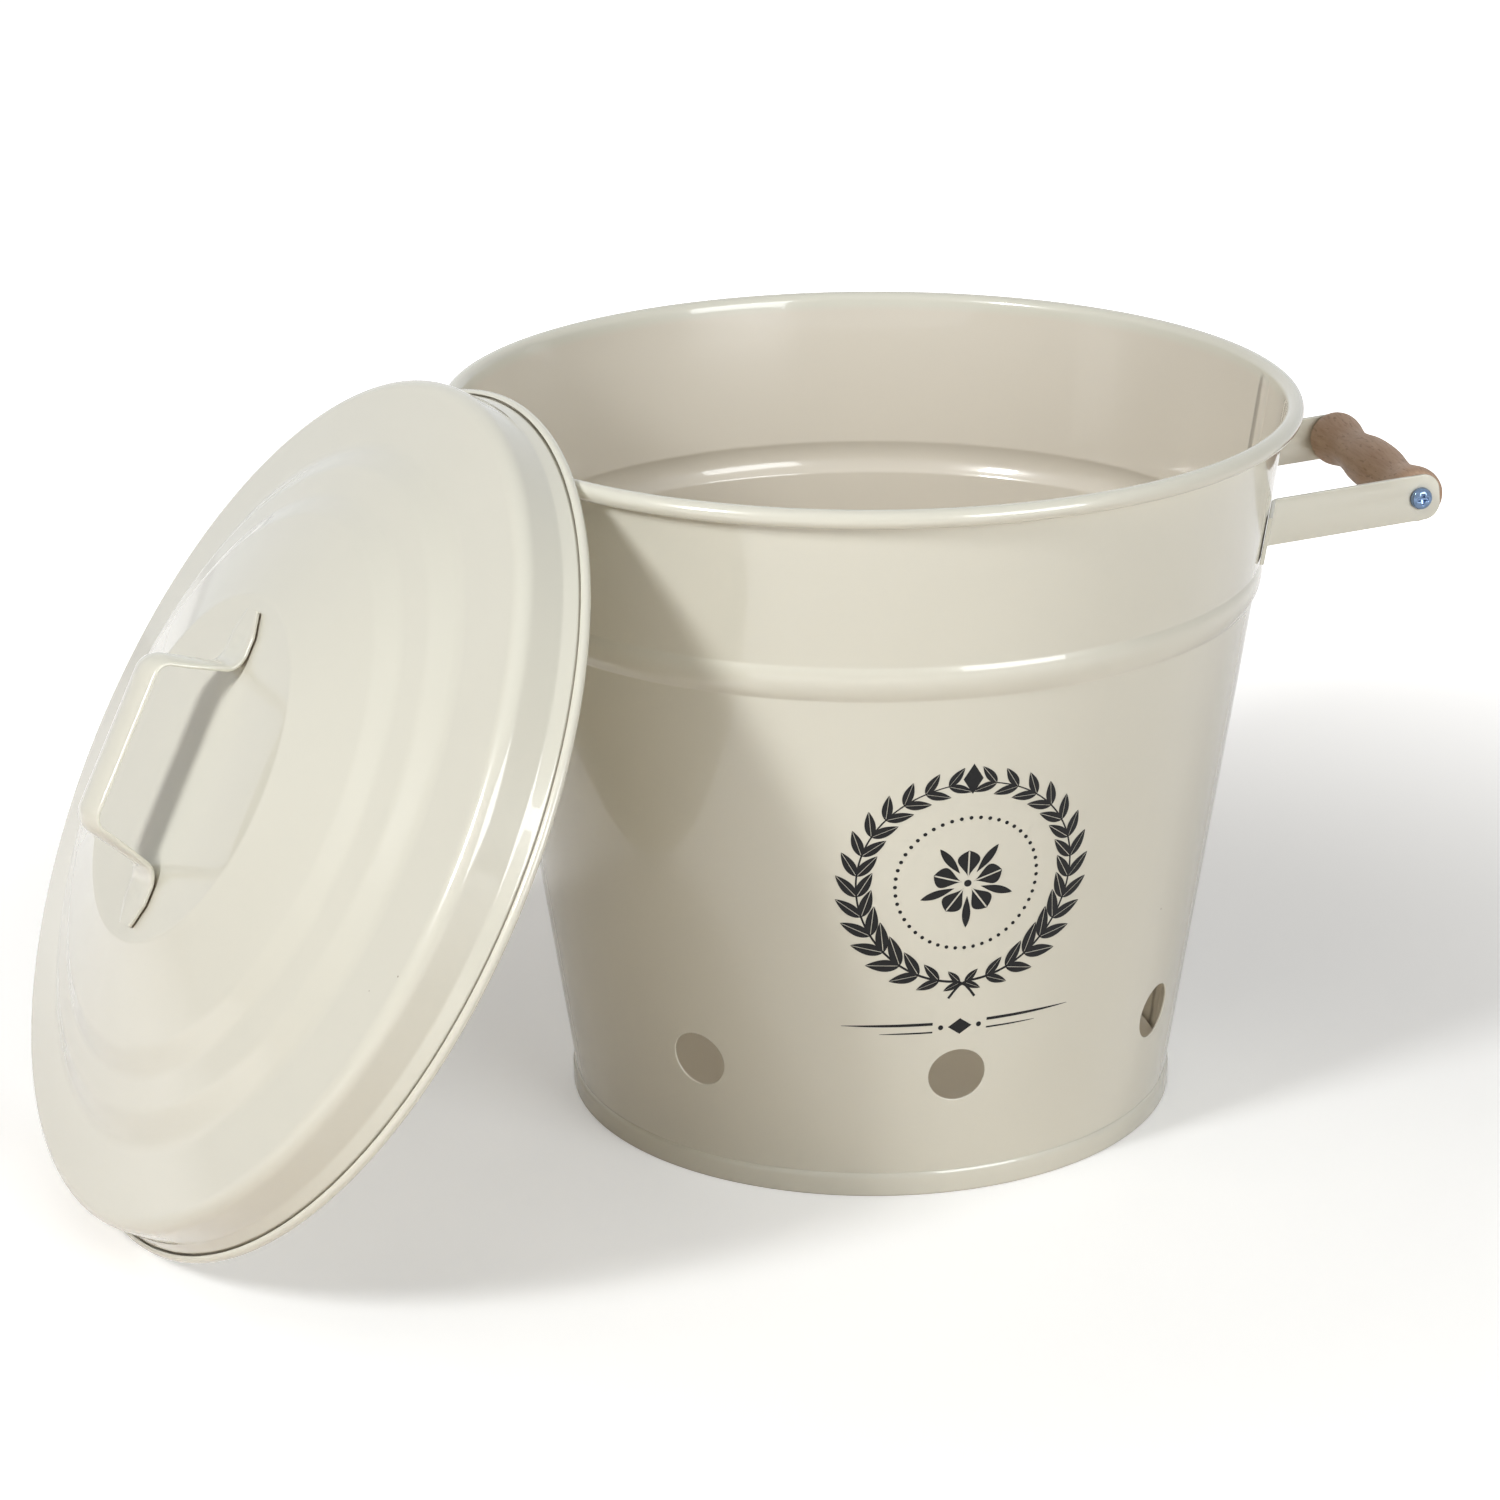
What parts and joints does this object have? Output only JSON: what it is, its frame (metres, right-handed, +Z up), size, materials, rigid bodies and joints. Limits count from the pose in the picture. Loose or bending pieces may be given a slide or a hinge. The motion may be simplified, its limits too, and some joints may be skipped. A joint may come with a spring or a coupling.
{
  "type": "potato storage bin",
  "caption": "Tapered enamelled steel storage bin with vent holes, wooden bar side handles and a separate stepped lid leaning against its rim.",
  "frame": {"origin": "centre of the foot ring on the floor, on the bin's axis", "axes": "+Z up; -Y is the front, with the middle vent of the front three; the side handles stand out along +X and -X; the lid leans on the rim at -X"},
  "size_m": [0.5231, 0.3612, 0.2861],
  "materials": {
    "enamel": "glossy cream vitreous enamel on steel",
    "beech": "turned beech, lightly oiled",
    "zinc": "bright zinc plate"
  },
  "bodies": {
    "bin": {"bin_wall": "enamel", "bin_base": "enamel", "right_handle_front_arm": "enamel", "right_handle_rear_arm": "enamel", "left_handle_front_arm": "enamel", "left_handle_rear_arm": "enamel"},
    "right_bar": {"right_grip": "beech", "right_grip_screws": "zinc"},
    "left_bar": {"left_grip": "beech", "left_grip_screws": "zinc"},
    "lid": {"lid_shell": "enamel", "lid_handle": "enamel"}
  },
  "joints": [
    {"name": "right_bar_turn", "type": "hinge", "parent": "bin", "child": "right_bar", "pos_m": [0.1964, 0, 0.2245], "axis": [0, 1, 0], "continuous": true},
    {"name": "left_bar_turn", "type": "hinge", "parent": "bin", "child": "left_bar", "pos_m": [-0.1964, 0, 0.2245], "axis": [0, 1, 0], "continuous": true},
    {"name": "lid_lift", "type": "slide", "parent": "bin", "child": "lid", "axis": [0, 0, 1], "range_m": [0, 0.3]}
  ]
}
